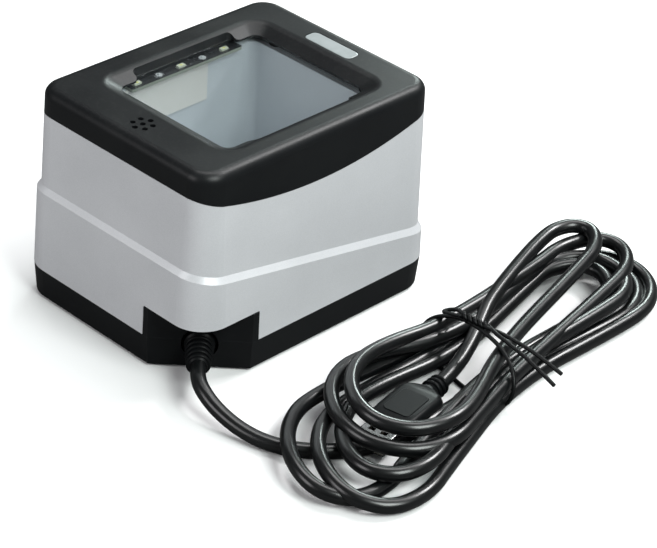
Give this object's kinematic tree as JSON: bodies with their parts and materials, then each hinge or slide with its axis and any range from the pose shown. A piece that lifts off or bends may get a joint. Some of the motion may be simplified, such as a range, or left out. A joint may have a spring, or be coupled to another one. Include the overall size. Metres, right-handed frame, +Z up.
{
  "type": "flatbed barcode scanner",
  "caption": "Compact desktop barcode scanner that reads codes through a glass window in its top face, with a corded USB plug tied in a hank.",
  "frame": {"origin": "centre of the body's footprint, on the table", "axes": "+Z up through the reading window, +Y along the body towards the indicator bar, the cable leaves the cut corner at +X, -Y"},
  "size_m": [0.1785, 0.182, 0.0797],
  "materials": {
    "black_case": "satin black moulded plastic with a fine texture",
    "silver_case": "silver-grey pearl paint over plastic",
    "window_glass": "polished clear glass",
    "adhesive_foam": "black adhesive foam",
    "diffuser": "milky translucent plastic",
    "board_green": "green solder mask",
    "board_black": "black solder mask",
    "led_package": "white package with yellow phosphor",
    "clear_resin": "clear moulded resin",
    "grille_cloth": "black woven cloth",
    "chip_black": "black epoxy",
    "chamber_grey": "smooth grey moulded plastic",
    "reflector_white": "white reflecting sheet",
    "ribbon": "flat ribbon cable",
    "plated_metal": "nickel plate",
    "connector_nylon": "natural nylon",
    "cable_rubber": "soft black PVC overmould",
    "cable_jacket": "glossy black PVC",
    "contact_gold": "gold plate",
    "tie_coating": "black plastic-coated wire",
    "foot_rubber": "black rubber",
    "label": "blank silver polyester label",
    "screw_steel": "zinc-plated steel"
  },
  "bodies": {
    "root": {"aiming_leds_left": "clear_resin", "aiming_leds_right": "clear_resin", "base_cover": "black_case", "base_screws": "screw_steel", "buzzer": "chip_black", "cable_connector": "connector_nylon", "cable_hank": "cable_jacket", "cable_header": "connector_nylon", "cable_lead": "cable_jacket", "capacitors": "plated_metal", "case_screws": "screw_steel", "chamber_screws": "screw_steel", "crystal": "plated_metal", "decoder_chip": "chip_black", "front_lens": "clear_resin", "grille_cloth": "grille_cloth", "illumination_leds_left": "led_package", "illumination_leds_right": "led_package", "image_sensor": "chip_black", "inner_cable": "cable_jacket", "inner_frame": "black_case", "led_board_left": "board_black", "led_board_right": "board_black", "led_board_screws": "screw_steel", "led_ribbon_left": "ribbon", "led_ribbon_right": "ribbon", "lens_barrel": "chip_black", "lens_holder": "chip_black", "light_bar_lens": "diffuser", "light_chamber": "chamber_grey", "main_board": "board_green", "main_board_screws": "screw_steel", "memory_chip": "chip_black", "middle_shell": "silver_case", "plug_contacts": "contact_gold", "plug_insulator": "connector_nylon", "plug_overmould": "cable_rubber", "plug_shell": "plated_metal", "rating_label": "label", "ribbon_headers": "connector_nylon", "rubber_feet": "foot_rubber", "side_reflector_left": "reflector_white", "side_reflector_right": "reflector_white", "status_board": "board_green", "status_leds": "led_package", "strain_relief": "cable_rubber", "top_bezel": "black_case", "twist_tie": "tie_coating", "window_gasket": "adhesive_foam", "window_glass": "window_glass"}
  },
  "joints": []
}
